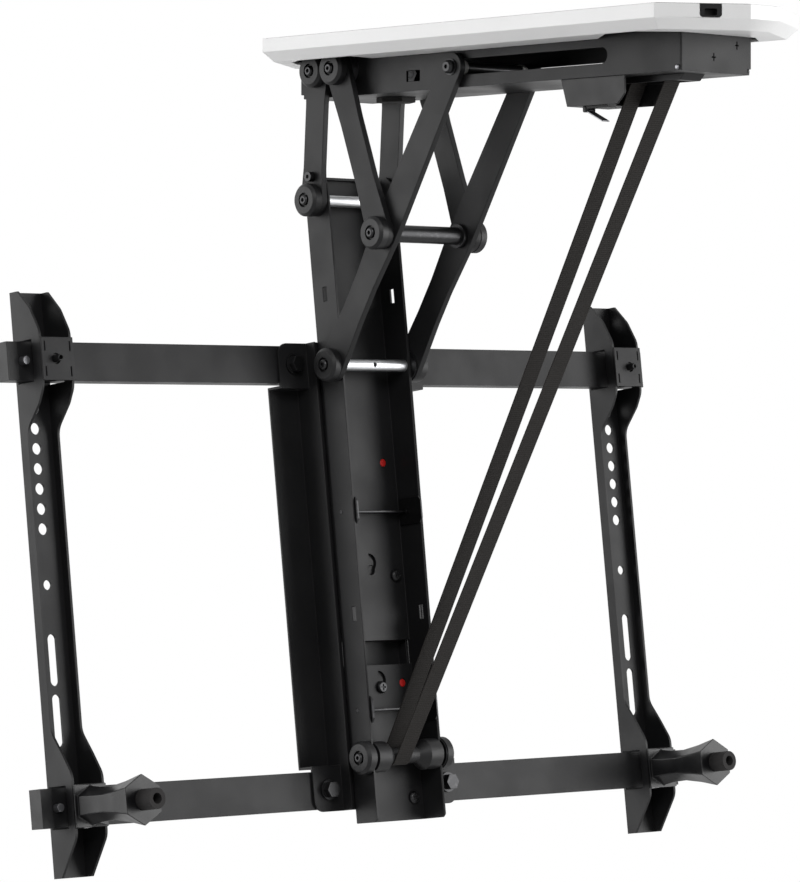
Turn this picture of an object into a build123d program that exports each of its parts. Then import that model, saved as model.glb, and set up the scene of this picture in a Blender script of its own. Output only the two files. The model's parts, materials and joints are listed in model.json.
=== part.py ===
"""Motorized ceiling mount for a television: a flip-down column on a strap-driven scissor linkage.

Axes: X runs along the television rails, Y from the hinge end to the motor end, Z up.
The origin is the middle of the ceiling plate's upper face. The column hangs down.
"""
import os
from math import acos, atan2, cos, hypot, radians, sin

from build123d import *

os.makedirs("parts", exist_ok=True)

# Ceiling plate
plate_thick = 2.5
plate_margin = 0.3
ceiling_hole_radius = 4.2
ceiling_hole_spacing_x = 104
ceiling_hole_inset = 38

# White cover: an octagonal tray with a chamfered lower edge
cover_length = 481
cover_width = 146
cover_corner_x = 58
cover_corner_motor = 36
cover_corner_hinge = 40
cover_side = 10
cover_drop = 7.4
cover_inset = 8
cover_wall = 2.2
cover_top_gap = 0.4
cover_ledge = 3
opening_hinge_bend = -172
opening_hinge_corner = (52, -191)
opening_motor_run = 20
opening_hinge_neck = -118
opening_motor_neck = 115
opening_neck_run = 32
opening_clearance = 2

# Frame channel between the two banks of arms
frame_half = 35
frame_wall = 2
frame_depth = 44
frame_hinge_end = -200
frame_motor_end = 192.7
end_plate_thick = 1.5

# Pivot bolts, washers and caps
layer_gap = 1
washer_radius = 11.5
arm_thick = 5
bolt_radius = 3
fit_clearance = 0.05
cap_radius = 12.3
cap_thick = 7.8
cap_chamfer = 2.1
cap_recess_radius = 5.35
head_radius = 3.9
head_height = 3.2
head_recess = 2
socket_across = 2.8
socket_depth = 1.6
nut_across = 12
nut_thick = 5

# Linkage: the fixed pivots, the slot and the arm lengths
rear_pivot_y = -176.2
lift_pivot_y = -147.3
pivot_drop = 24.4
slot_drop = 29.3
slot_height = 11.4
slider_rest_y = -30.9
slider_fold_y = 116
lift_arm_length = 130.9
cross_arm_upper = 137.8
cross_arm_lower = 112
rear_arm_length = 96
column_pivot_spacing = 124.8

# Arm outlines
rear_arm_end_radius = 12
rear_arm_waist = 10.2
rear_arm_taper = 24
lift_arm_radius = 12
lift_arm_waist = 10.1
long_arm_taper = 42
cross_arm_slider_radius = 10.5
cross_arm_middle_radius = 13
cross_arm_column_radius = 12.5
cross_arm_waist = 10.5
stop_screw_offset = 17.5
stop_screw_radius = 3.7
stop_screw_length = 10

# Shafts and tubes of the linkage
shaft_radius = 4.3
lower_shaft_radius = 4.3
lower_shaft_hole = 1.8
cross_tube_radius = 6.5
collar_radius = 9
collar_length = 4
slider_shaft_radius = 4.5
slider_pin_radius = 1.9
slider_roller_radius = 5.3
slider_roller_width = 5
slider_head_radius = 5
slider_head_height = 4

# Column: an upright channel that leans by column_lean when it hangs
column_lean = 7
column_half = 35
column_wall = 2
column_top = 144
column_bottom = -340
column_depth_top = 26.5
column_depth_bottom = 24
lower_pivot_depth = 20.9
column_bend = 2.5
edge_tab_height = 20
edge_tab_depth = 2.5
edge_tabs = (-109, -257)
rib_depth = 12
rib_thick = 1.5
window_height = 18
window_level = -214
flange_slots = ((54, 14.2), (-185.5, 17.3))
flange_slot_width = 4
flange_slot_height = 10.6
web_hole_radius = 3.2
web_holes = ((-21.5, -71.2), (-22.7, -237.3))
web_screws = ((-23.9, -156.7), (-23.5, -323.3))
keyhole_levels = (-152, -240)
keyhole_radius = 3.6
keyhole_arc = 5.5
keyhole_slot = 2.6
web_screw_radius = 4.6
web_screw_height = 3

# Strap, its roller on the column and the drum in the frame
strap_x = 5
strap_width = 15.5
strap_thick = 0.7
roller_level = -292.2
roller_depth = 18.8
roller_radius = 11.5
groove_radius = 6
groove_half = 13
groove_taper = 7
roller_end_gap = 0.5
drum_y = 159.5
drum_core_radius = 6
wound_radius = 8
drum_flange_radius = 17
drum_flange_thick = 1.5
drum_shaft_radius = 4
anchor_y = 134.8
anchor_radius = 3
gearbox_radius = 16
gearbox_length = 8
motor_radius = 13.5
bearing_radius = 7
bearing_length = 3
guide_thick = 4.5
guide_half_width = 10.5
guide_start = 120
guide_end = 178
guide_wall = 2.2
anchor_rise = 5

# Limit switch under the frame
switch_face = 33
switch_width = 41.5
switch_start = 74
switch_end = 137
switch_slope = 6
switch_floor_end = 112
switch_corner = 7
switch_height = 19.5
switch_wall = 1.6
lever_x = 22.5
lever_width = 7.5
lever_y = 91.7
lever_length = 18.5
lever_thick = 0.9
lever_droop = 26

# Television carrier, rails and their bolts
rail_front = -9.6
rail_depth = 13
rail_height = 28
rail_wall = 1.6
rail_length = 643
rail_cap = 10
rail_plug_gap = 2
rail_plug_relief = 7
rail_upper = 3.9
rail_lower = -313.4
carrier_thick = 2
carrier_gap = 0.3
carrier_near = 67
carrier_far = 78
carrier_lip_near = 39
carrier_lip_far = 50
carrier_ear_corner = 9
carrier_bolt_near = 53
carrier_bolt_far = 68
carrier_bolt_across = 11
carrier_bolt_height = 5.2
carrier_washer_radius = 7.6
pocket_depth = 8
pocket_wall = 1.5
pocket_side = 2

# Television brackets
bracket_x = 287.85
bracket_width = 29.2
far_bracket_shift = 2.7
bracket_wall = 2
bracket_back = -25.5
bracket_top = 55
bracket_bottom = -363
bracket_shallow = 8.5
bracket_ear = 29.5
bracket_slot_gap = 1.2
bracket_slot_reach = 5
bracket_bend = 14
lower_ear_set_back = 1.5
upper_ear_bends = ((-4.5, 41), (0, 24), (0, -16), (-2, -27))
upper_ear_end = -44
lower_ear_start = -260
lower_ear_bends = ((-6.5, -276), (0, -291), (0, -335))
vesa_hole_radius = 4.25
vesa_hole_shift = 1.7
vesa_hole_count = 6
vesa_hole_first = -42.7
vesa_hole_pitch = 14.4
vesa_extra_steps = (-6, -1)
vesa_single_level = -154.7
vesa_slots = ((-208.3, 37), (-251.4, 37.3))
vesa_slot_width = 7.6
clamp_plate_thick = 1.8
clamp_plate_height = 31
clamp_hole_radius = 3.8
clamp_screw_radius = 2.5
clamp_screw_proud = 5.5
clamp_nut_across = 9
clamp_nut_thick = 4
clamp_slit = (0.8, 7)
clamp_slit_inset = 3.2
clamp_slit_rise = 9
stop_head_radius = 3
stop_head_height = 5.5
stop_bolt_inset = 3.1

# Ceiling bumpers on the lower end of the brackets
bumper_tip = 77
bumper_base = 14
bumper_stations = ((15, 12.6), (29, 12.2), (45, 14.6), (62, 18.4))
bumper_foot_radius = 7.5
bumper_foot_bore = 3.8
bumper_foot_length = 18
bumper_face = bumper_stations[-1][0]

# Electronics
board_length = 70
board_width = 48
board_y = -75
board_thick = 1.6
board_drop = 9
socket_width = 15.6
socket_height = 9.3
socket_share = 0.585
socket_depth_in = 12
socket_wall = 1

# Openings and fixings of the frame
frame_notch_length = 3
frame_notch_height = 3.2
frame_flange = 10
frame_flange_thick = 2
frame_flange_start = -188
frame_flange_end = 178
frame_window_start = -84
frame_window_length = 14
frame_window_upper = -29
frame_window_height = 7.8
slot_play = 0.6
far_slot_height = 7.8
far_slot_drop = 31.1
flange_screw_radius = 3.2
flange_screw_drop = 2.2
flange_screws = (-170, -60, 60, 160)
end_slots = ((2.9, -33.3), (-20.5, -24))
end_slot_length = 3.5
end_slot_height = 5.5
end_slot_width = 0.6
end_notch = 4
end_tab_length = 10
end_screw_radius = 1.8
end_screw_head = 1.5
end_screw_inset = 2.4

# Hexagonal buffer under the frame
buffer_place = (-5.2, -138.7)
buffer_radius = 15
buffer_thick = 3.6
buffer_turn = 4

# Running gaps
strap_gap = 0.3
strap_side_gap = 0.5
strap_slot_gap = 1.6
seat_gap = 0.3

# Switch, board and their fixings
switch_body_width = 9
switch_body_length = 24
switch_body_height = 14
switch_body_proud = 1.5
lever_knuckle = 1.4
lever_pin_radius = 0.7
lever_lug = 1
board_post_radius = 2.6
board_chips = ((-12, -18, 14, 18, 7), (10, -20, 16, 12, 9), (-10, 14, 10, 10, 5), (12, 12, 8, 22, 6))

# Small fixings on the column
rivet_radius = 1.5
upper_washer_radius = 11.5
head_taper = 35
web_lip = 7
flange_bevel = 8
foot_bevel = 2

# Places worked out from the sizes above
lean = radians(column_lean)
cover_bottom = cover_top_gap + cover_side + cover_drop
inner_arm = frame_half + layer_gap
outer_arm = inner_arm + arm_thick + layer_gap
inner_cap = inner_arm + arm_thick
outer_cap = outer_arm + arm_thick
rear_pivot = (rear_pivot_y, -pivot_drop)
lift_pivot = (lift_pivot_y, -pivot_drop)
slider = (slider_rest_y, -slot_drop)


def meet(first, first_length, second, second_length):
    """The lower point that lies at the two lengths from the two points."""
    dy, dz = second[0] - first[0], second[1] - first[1]
    span = hypot(dy, dz)
    along = (first_length**2 - second_length**2 + span**2) / (2 * span)
    turn = acos(along / first_length)
    angle = atan2(dz, dy) - turn
    return first[0] + first_length * cos(angle), first[1] + first_length * sin(angle)


middle_pivot = meet(lift_pivot, lift_arm_length, slider, cross_arm_upper)
stretch = (cross_arm_upper + cross_arm_lower) / cross_arm_upper
lower_pivot = tuple(s + (m - s) * stretch for s, m in zip(slider, middle_pivot))


def hang_from(first, first_length, second, second_length):
    """The point on the hinge side at the two lengths from the two points."""
    dy, dz = second[0] - first[0], second[1] - first[1]
    span = hypot(dy, dz)
    along = (first_length**2 - second_length**2 + span**2) / (2 * span)
    angle = atan2(dz, dy) - acos(along / first_length)
    return first[0] + first_length * cos(angle), first[1] + first_length * sin(angle)


upper_pivot = hang_from(rear_pivot, rear_arm_length, lower_pivot, column_pivot_spacing)

# The column's own datum: its back face, level with the lower pivot
datum_y = lower_pivot[0] - lower_pivot_depth * cos(lean)
datum_z = lower_pivot[1] - lower_pivot_depth * sin(lean)


def on_column(point):
    """Depth and height in the column's own directions of a point (y, z)."""
    dy, dz = point[0] - datum_y, point[1] - datum_z
    return dy * cos(lean) + dz * sin(lean), dz * cos(lean) - dy * sin(lean)


def off_column(depth, height):
    """The point (y, z) at a depth and height of the column."""
    return (datum_y + depth * cos(lean) - height * sin(lean),
            datum_z + depth * sin(lean) + height * cos(lean))


upper_depth, upper_height = on_column(upper_pivot)
roller_pivot = off_column(roller_depth, roller_level)


def across(x=0):
    """A plane square to X: its own x is Y and its own y is Z."""
    return Plane(origin=(x, 0, 0), x_dir=(0, 1, 0), z_dir=(1, 0, 0))


def column_side(x=0):
    """A plane square to X in the column's directions: depth, then height."""
    return Plane(origin=(x, datum_y, datum_z), x_dir=(0, cos(lean), sin(lean)), z_dir=(1, 0, 0))


def column_face(depth=0):
    """A plane parallel to the television: X, then height. It is extruded backwards."""
    y, z = off_column(depth, 0)
    return Plane(origin=(0, y, z), x_dir=(1, 0, 0), z_dir=(0, -cos(lean), -sin(lean)))


def column_cut(height=0):
    """A plane square to the column's length: X, then depth. It is extruded upwards."""
    y, z = off_column(0, height)
    return Plane(origin=(0, y, z), x_dir=(1, 0, 0), z_dir=(0, -sin(lean), cos(lean)))


def finish(piece, label):
    """Names a finished piece and writes its file."""
    piece.part.label = label
    export_step(piece.part, f"parts/{label}.step")


def disc(x, point, radius, length):
    """A cylinder along X from x, centred on a point (y, z)."""
    with BuildSketch(across(x)) as profile:
        with Locations(point):
            Circle(radius)
    extrude(profile.sketch, amount=length)


def ring(x, point, radius, bore, length):
    """A washer or tube along X from x."""
    with BuildSketch(across(x)) as profile:
        with Locations(point):
            Circle(radius)
            Circle(bore, mode=Mode.SUBTRACT)
    extrude(profile.sketch, amount=length)


def bar(x, ends, thick=arm_thick):
    """A flat link round a row of (point, radius) ends."""
    for (first, first_radius), (second, second_radius) in zip(ends, ends[1:]):
        with BuildSketch(across(x)) as profile:
            with Locations(first):
                Circle(first_radius)
            with Locations(second):
                Circle(second_radius)
            make_hull()
        extrude(profile.sketch, amount=thick)


def bore(point, radius):
    """A hole right across the piece being built."""
    with BuildSketch(across(-2 * cover_width)) as profile:
        with Locations(point):
            Circle(radius)
    extrude(profile.sketch, amount=4 * cover_width, mode=Mode.SUBTRACT)


def sink(x, point, radius, length):
    """A round hole along X from x."""
    with BuildSketch(across(x)) as profile:
        with Locations(point):
            Circle(radius)
    extrude(profile.sketch, amount=length, mode=Mode.SUBTRACT)


def cap(x, point):
    """A round cap on the +X side with a chamfered rim and a recess for the bolt head."""
    disc(x, point, cap_radius, cap_thick - cap_chamfer)
    with BuildSketch(across(x + cap_thick - cap_chamfer)) as profile:
        with Locations(point):
            Circle(cap_radius)
    extrude(profile.sketch, amount=cap_chamfer, taper=45)
    sink(x, point, bolt_radius + fit_clearance, cap_thick)
    sink(x + cap_thick - head_recess, point, cap_recess_radius, head_recess)


def socket_bolt(inner, start, point):
    """A hexagon-socket button bolt on the +X side, seated in the cap that starts at start."""
    seat = start + cap_thick - head_recess
    crown = head_height / 3
    disc(inner, point, bolt_radius, seat - inner)
    disc(seat, point, head_radius, head_height - crown)
    with BuildSketch(across(seat + head_height - crown)) as profile:
        with Locations(point):
            Circle(head_radius)
    extrude(profile.sketch, amount=crown, taper=45)
    with BuildSketch(across(seat + head_height - socket_depth)) as profile:
        with Locations(point):
            RegularPolygon(socket_across / 2, 6, major_radius=False)
    extrude(profile.sketch, amount=socket_depth, mode=Mode.SUBTRACT)


def outline(plane, points, amount, mode=Mode.ADD):
    """A straight-sided block from a closed outline on a plane."""
    with BuildSketch(plane) as profile:
        with BuildLine():
            Polyline(*points, close=True)
        make_face()
    extrude(profile.sketch, amount=amount, mode=mode)


def box_on(plane, first, second, height, mode):
    """A box on a plane, from its spans along the plane's two directions."""
    with BuildSketch(plane) as profile:
        with Locations((sum(first) / 2, sum(second) / 2)):
            Rectangle(abs(first[1] - first[0]), abs(second[1] - second[0]))
    extrude(profile.sketch, amount=height, mode=mode)


def block(x_span, y_span, z_span, mode=Mode.ADD):
    """A box from its spans along X, Y and Z."""
    low = min(z_span)
    box_on(Plane.XY.offset(low), x_span, y_span, max(z_span) - low, mode)


def leaning_block(x_span, depths, heights, mode=Mode.ADD):
    """A box from its spans along X and in the column's depth and height."""
    low = min(heights)
    box_on(column_cut(low), x_span, depths, max(heights) - low, mode)


def face_hole(x, height, radius, front, length):
    """A round hole through the column's web or a television bracket."""
    with BuildSketch(column_face(front)) as profile:
        with Locations((x, height)):
            Circle(radius)
    extrude(profile.sketch, amount=length, mode=Mode.SUBTRACT)


def pan_screw(x, height, radius, face, head):
    """A domed screw head in front of a face of the column, with its shank behind it."""
    with BuildSketch(column_face(face)) as profile:
        with Locations((x, height)):
            Circle(radius)
    extrude(profile.sketch, amount=-head / 2)
    with BuildSketch(column_face(face + head / 2)) as profile:
        with Locations((x, height)):
            Circle(radius)
    extrude(profile.sketch, amount=-head / 2, taper=35)
    with BuildSketch(column_face(face)) as profile:
        with Locations((x, height)):
            Circle(radius / 2)
    extrude(profile.sketch, amount=column_wall)
    with BuildSketch(column_face(face + head)) as profile:
        with Locations((x, height)):
            Rectangle(radius, radius / 5)
            Rectangle(radius / 5, radius)
    extrude(profile.sketch, amount=head / 3, mode=Mode.SUBTRACT)


def cover_outline(inset=0):
    """The cover's rectangle with its four corners cut, drawn in by an inset."""
    x, y = cover_width / 2, cover_length / 2
    side = [(x - cover_corner_x, -y), (x, -y + cover_corner_hinge), (x, y - cover_corner_motor),
            (x - cover_corner_x, y)]
    Polygon(*side, *[(-x, y) for x, y in side[::-1]], align=None)
    if inset:
        offset(amount=-inset, kind=Kind.INTERSECTION)


# Ceiling plate, just inside the cover
plate_inset = cover_wall + plate_margin
plate_length = cover_length - 2 * plate_inset
with BuildPart() as ceiling_plate:
    with BuildSketch(Plane.XY.offset(-plate_thick)):
        cover_outline(plate_inset)
        with GridLocations(ceiling_hole_spacing_x, plate_length - 2 * ceiling_hole_inset, 2, 2):
            Circle(ceiling_hole_radius, mode=Mode.SUBTRACT)
    extrude(amount=plate_thick)
finish(ceiling_plate, "ceiling_plate")

# White cover
opening_half = cover_width / 2 - cover_inset - cover_ledge
neck_half = frame_half + opening_clearance
opening_motor_end = frame_motor_end + end_plate_thick + opening_clearance
port_middle_x = cover_width / 2 - cover_corner_x * socket_share
port_middle_y = cover_length / 2 - cover_corner_motor * (1 - socket_share)
port_plane = Plane(origin=(port_middle_x, port_middle_y, -cover_top_gap),
                   x_dir=(-cover_corner_x, cover_corner_motor, 0),
                   z_dir=(-cover_corner_motor, -cover_corner_x, 0))
with BuildPart() as top_cover:
    with BuildSketch(Plane.XY.offset(-cover_top_gap - cover_side)):
        cover_outline()
    extrude(amount=cover_side)
    with BuildSketch(Plane.XY.offset(-cover_top_gap - cover_side)):
        cover_outline()
    with BuildSketch(Plane.XY.offset(-cover_bottom)):
        cover_outline(cover_inset)
    loft()
    offset(amount=-cover_wall, openings=top_cover.faces().sort_by(Axis.Z)[-1])
    with BuildSketch(Plane.XY.offset(-cover_bottom)):
        with BuildLine():
            loop = [(neck_half, opening_motor_end), (opening_half, opening_motor_end - opening_motor_run),
                    (opening_half, opening_motor_neck + opening_neck_run), (neck_half, opening_motor_neck),
                    (neck_half, opening_hinge_neck),
                    (opening_half, opening_hinge_neck + opening_clearance),
                    (opening_half, opening_hinge_bend), opening_hinge_corner,
                    (neck_half, frame_hinge_end - opening_clearance)]
            Polyline(*loop, *[(-x, y) for x, y in loop[::-1]], close=True)
        make_face()
    extrude(amount=cover_wall, mode=Mode.SUBTRACT)
    with BuildSketch(port_plane.offset(-cover_wall)):
        with Locations((0, socket_height / 2)):
            RectangleRounded(socket_width, socket_height, cover_wall)
        Rectangle(socket_width, socket_height)
    extrude(amount=3 * cover_wall, mode=Mode.SUBTRACT)
finish(top_cover, "top_cover")


def both_sides(build, label):
    """Builds pieces on the +X side and mirrors them to the other side, all in one node."""
    with BuildPart() as pieces:
        build()
        mirror(about=Plane.YZ)
    finish(pieces, label)


def near_and_far(build, label, shift=0):
    """Builds a piece on the near side and its mirror image, a shift further out, on the far side."""
    with BuildPart() as near:
        build()
    finish(near, f"{label}_near")
    with BuildPart() as far:
        mirror(near.part, about=Plane.YZ.offset(-shift / 2))
    finish(far, f"{label}_far")


# Frame channel
frame_inner = frame_half - frame_wall
frame_floor = -frame_depth + frame_wall
slot_start = slider_rest_y - slider_roller_radius - slot_play
slot_end = slider_fold_y + slider_roller_radius + slot_play
strap_half = strap_width / 2
strap_hole = (strap_x - strap_half - strap_slot_gap, strap_x + strap_half + strap_slot_gap)
strap_hole_run = (guide_start + guide_wall, drum_y + wound_radius)
drum = (drum_y, -pivot_drop)
anchor = (anchor_y, frame_floor + anchor_radius + anchor_rise)
with BuildPart() as frame_channel:
    block((-frame_half, frame_half), (frame_hinge_end, frame_motor_end), (-frame_depth, -plate_thick))
    for x in (-frame_half - frame_flange, frame_half):
        block((x, x + frame_flange), (frame_flange_start, frame_flange_end),
              (-plate_thick - frame_flange_thick, -plate_thick))
    block((-frame_inner, frame_inner), (frame_hinge_end, frame_motor_end),
          (frame_floor, -plate_thick), Mode.SUBTRACT)
    block((-frame_half, frame_half), (frame_hinge_end, frame_hinge_end + frame_notch_length),
          (-frame_depth, -frame_depth + frame_notch_height), Mode.SUBTRACT)
    for x, drop, height in ((0, slot_drop, slot_height), (-cover_width, far_slot_drop, far_slot_height)):
        with BuildSketch(across(x)):
            with Locations(((slot_start + slot_end) / 2, -drop)):
                SlotOverall(slot_end - slot_start, height)
        extrude(amount=cover_width, mode=Mode.SUBTRACT)
    with BuildSketch(across(-cover_width)):
        with Locations((frame_window_start + frame_window_length / 2,
                        frame_window_upper - frame_window_height / 2)):
            Rectangle(frame_window_length, frame_window_height)
        with Locations(rear_pivot, lift_pivot):
            Circle(bolt_radius + fit_clearance)
        with Locations((frame_motor_end - end_screw_inset, -frame_depth + end_screw_inset)):
            Circle(end_screw_radius / 2 + fit_clearance)
    extrude(amount=2 * cover_width, mode=Mode.SUBTRACT)
    block(strap_hole, strap_hole_run, (-frame_depth, frame_floor), Mode.SUBTRACT)
finish(frame_channel, "frame_channel")


flange_screw_end = plate_thick + frame_flange_thick + flange_screw_drop


def flange_screw():
    """The screws that hold the frame's flange to the ceiling plate."""
    for y in flange_screws:
        with BuildSketch(Plane.XY.offset(-flange_screw_end)) as profile:
            with Locations((frame_half + frame_flange / 2, y)):
                Circle(flange_screw_radius)
                RegularPolygon(socket_across / 2, 6, mode=Mode.SUBTRACT)
        extrude(profile.sketch, amount=flange_screw_drop)


# End plate with its folded tabs
with BuildPart() as end_plate:
    block((-frame_half, frame_half), (frame_motor_end, frame_motor_end + end_plate_thick),
          (-frame_depth, -plate_thick))
    block((-frame_half, -frame_half + end_notch), (frame_motor_end, frame_motor_end + end_plate_thick),
          (-frame_depth, -frame_depth + end_notch), Mode.SUBTRACT)
    for x in (-frame_inner, frame_inner - end_plate_thick):
        block((x, x + end_plate_thick), (frame_motor_end - end_tab_length, frame_motor_end),
              (frame_floor, -plate_thick - frame_wall))
    for x, z in end_slots:
        for wide, high in ((end_slot_width, end_slot_height), (end_slot_length, end_slot_width)):
            block((x - wide / 2, x + wide / 2), (frame_motor_end, frame_motor_end + end_plate_thick),
                  (z - high / 2, z + high / 2), Mode.SUBTRACT)
finish(end_plate, "end_plate")


def frame_screw():
    """The frame's flange screws and the screw of its end plate."""
    flange_screw()
    point = (frame_motor_end - end_screw_inset, -frame_depth + end_screw_inset)
    disc(frame_inner, point, end_screw_radius / 2, frame_wall)
    disc(frame_half, point, end_screw_radius, end_screw_head / 2)
    with BuildSketch(across(frame_half + end_screw_head / 2)) as profile:
        with Locations(point):
            Circle(end_screw_radius)
    extrude(profile.sketch, amount=end_screw_head / 2, taper=head_taper)


both_sides(frame_screw, "frame_screws")

with BuildPart() as frame_buffer:
    with BuildSketch(Plane.XY.offset(-frame_depth - buffer_thick)):
        with Locations(buffer_place):
            RegularPolygon(buffer_radius, 6, rotation=buffer_turn)
    extrude(amount=buffer_thick)
finish(frame_buffer, "frame_buffer")


# Caps, bolts, nuts and spacers of the two fixed pivots
def frame_cap():
    """The caps of the two fixed pivots."""
    cap(inner_cap, rear_pivot)
    cap(outer_cap, lift_pivot)


def frame_bolt():
    """The bolts of the two fixed pivots with their nuts inside the frame."""
    socket_bolt(frame_inner - nut_thick, inner_cap, rear_pivot)
    socket_bolt(frame_inner - nut_thick, outer_cap, lift_pivot)
    for point in (rear_pivot, lift_pivot):
        with BuildSketch(across(frame_inner - nut_thick)) as profile:
            with Locations(point):
                RegularPolygon(nut_across / 2, 6, major_radius=False)
                Circle(bolt_radius + fit_clearance, mode=Mode.SUBTRACT)
        extrude(profile.sketch, amount=nut_thick)


def frame_spacer():
    """The washers between the frame and its arms."""
    ring(frame_half, rear_pivot, washer_radius, bolt_radius + fit_clearance, layer_gap)
    ring(frame_half, lift_pivot, washer_radius, bolt_radius + fit_clearance, outer_arm - frame_half)


both_sides(frame_cap, "frame_caps")
both_sides(frame_bolt, "frame_bolts")
both_sides(frame_spacer, "frame_spacers")

# Limit switch: housing, switch and lever
switch_top = -frame_depth
switch_floor = switch_top - switch_height
switch_far = switch_face - switch_width
switch_span = (lever_x - switch_body_width / 2, lever_x + switch_body_width / 2)
switch_run = (lever_y - lever_knuckle, lever_y - lever_knuckle + switch_body_length)
lever_pin = (lever_y, switch_floor - switch_body_proud - lever_knuckle)
with BuildPart() as switch_housing:
    outline(across(switch_far), [(switch_start, switch_top), (switch_end, switch_top),
                                 (switch_end, switch_floor + switch_corner),
                                 (switch_end - switch_corner, switch_floor),
                                 (switch_start + switch_slope, switch_floor)], switch_width)
    outline(across(switch_far + switch_wall),
            [(switch_start + switch_wall, switch_top), (switch_end, switch_top),
             (switch_end, switch_floor + switch_wall),
             (switch_start + switch_slope + switch_wall, switch_floor + switch_wall)],
            switch_width - 2 * switch_wall, Mode.SUBTRACT)
    block((switch_far + switch_wall, switch_face - switch_wall), (switch_floor_end, switch_end),
          (switch_floor, switch_top), Mode.SUBTRACT)
    block((switch_span[0] - fit_clearance, switch_span[1] + fit_clearance),
          (switch_run[0] - fit_clearance, switch_run[1] + fit_clearance),
          (switch_floor, switch_floor + switch_wall), Mode.SUBTRACT)
finish(switch_housing, "switch_housing")

with BuildPart() as limit_switch:
    block(switch_span, switch_run, (switch_floor - switch_body_proud, switch_floor + switch_body_height))
    for x in (lever_x - lever_width / 2 - seat_gap - lever_lug, lever_x + lever_width / 2 + seat_gap):
        with BuildSketch(across(x)):
            with Locations(lever_pin):
                Circle(lever_knuckle)
            with Locations((lever_pin[0], lever_pin[1] + lever_knuckle)):
                Rectangle(2 * lever_knuckle, 2 * lever_knuckle)
        extrude(amount=lever_lug)
    disc(lever_x - lever_width / 2 - seat_gap, lever_pin, lever_pin_radius, lever_width + 2 * seat_gap)
finish(limit_switch, "limit_switch")

droop = radians(lever_droop)
with BuildPart() as switch_lever:
    disc(lever_x - lever_width / 2, lever_pin, lever_knuckle - fit_clearance, lever_width)
    along = (cos(droop), -sin(droop))
    side = (sin(droop) * lever_thick / 2, cos(droop) * lever_thick / 2)
    tip = (lever_pin[0] + lever_length * along[0], lever_pin[1] + lever_length * along[1])
    outline(across(lever_x - lever_width / 2),
            [(lever_pin[0] - side[0], lever_pin[1] - side[1]), (tip[0] - side[0], tip[1] - side[1]),
             (tip[0] + side[0], tip[1] + side[1]), (lever_pin[0] + side[0], lever_pin[1] + side[1])],
            lever_width)
    sink(lever_x - lever_width / 2, lever_pin, lever_pin_radius + fit_clearance, lever_width)
finish(switch_lever, "switch_lever")

# Strap guide under the frame
with BuildPart() as strap_guide:
    outline(across(strap_x - guide_half_width),
            [(guide_start, -frame_depth), (guide_end, -frame_depth),
             (guide_end - guide_thick, -frame_depth - guide_thick),
             (guide_start, -frame_depth - guide_thick)],
            2 * guide_half_width)
    block(strap_hole, strap_hole_run, (-frame_depth - guide_thick, -frame_depth), Mode.SUBTRACT)
finish(strap_guide, "strap_guide")

# Motor, gearbox, drum and bearing on one shaft across the frame
drum_half = strap_half + strap_side_gap + drum_flange_thick
gearbox_end = strap_x - drum_half - seat_gap
gearbox_start = gearbox_end - gearbox_length
with BuildPart() as gearbox:
    ring(gearbox_start, drum, gearbox_radius, drum_shaft_radius + fit_clearance, gearbox_length)
finish(gearbox, "gearbox")

with BuildPart() as motor:
    disc(-frame_inner, drum, motor_radius, gearbox_start + frame_inner)
finish(motor, "motor")

with BuildPart() as strap_drum:
    disc(gearbox_start, drum, drum_shaft_radius, frame_inner - gearbox_start)
    disc(strap_x - drum_half, drum, drum_core_radius, 2 * drum_half)
    disc(strap_x - drum_half, drum, drum_flange_radius, drum_flange_thick)
    disc(strap_x + drum_half - drum_flange_thick, drum, drum_flange_radius, drum_flange_thick)
    ring(strap_x - strap_half, drum, wound_radius, drum_core_radius + fit_clearance, strap_width)
finish(strap_drum, "strap_drum")

with BuildPart() as drum_bearing:
    ring(frame_inner - bearing_length, drum, bearing_radius, drum_shaft_radius + fit_clearance,
         bearing_length)
finish(drum_bearing, "drum_bearing")

with BuildPart() as strap_anchor:
    disc(-frame_inner, anchor, anchor_radius, 2 * frame_inner)
finish(strap_anchor, "strap_anchor")


def strap_line(first, first_radius, second, second_radius, way):
    """The two ends, at the middle of the strap, of a straight run that touches two circles."""
    dy, dz = second[0] - first[0], second[1] - first[1]
    turn = way * acos((first_radius - second_radius) / hypot(dy, dz))
    angle = atan2(dz, dy) + turn
    normal = (cos(angle), sin(angle))
    start = (first[0] + first_radius * normal[0], first[1] + first_radius * normal[1])
    stop = (second[0] + second_radius * normal[0], second[1] + second_radius * normal[1])
    return start, stop, normal


def strap_run(line, label):
    """A straight run of strap."""
    (y1, z1), (y2, z2), (ny, nz) = line
    half_y, half_z = ny * strap_thick / 2, nz * strap_thick / 2
    with BuildPart() as run:
        outline(across(strap_x - strap_half),
                [(y1 - half_y, z1 - half_z), (y2 - half_y, z2 - half_z),
                 (y2 + half_y, z2 + half_z), (y1 + half_y, z1 + half_z)], strap_width)
    finish(run, label)


half_strap = strap_thick / 2 + strap_gap
loop_radius = groove_radius + half_strap
front_line = strap_line(drum, wound_radius + half_strap, roller_pivot, loop_radius, 1)
rear_line = strap_line(anchor, anchor_radius + half_strap, roller_pivot, loop_radius, -1)
strap_run(front_line, "strap_front")
strap_run(rear_line, "strap_rear")

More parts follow.
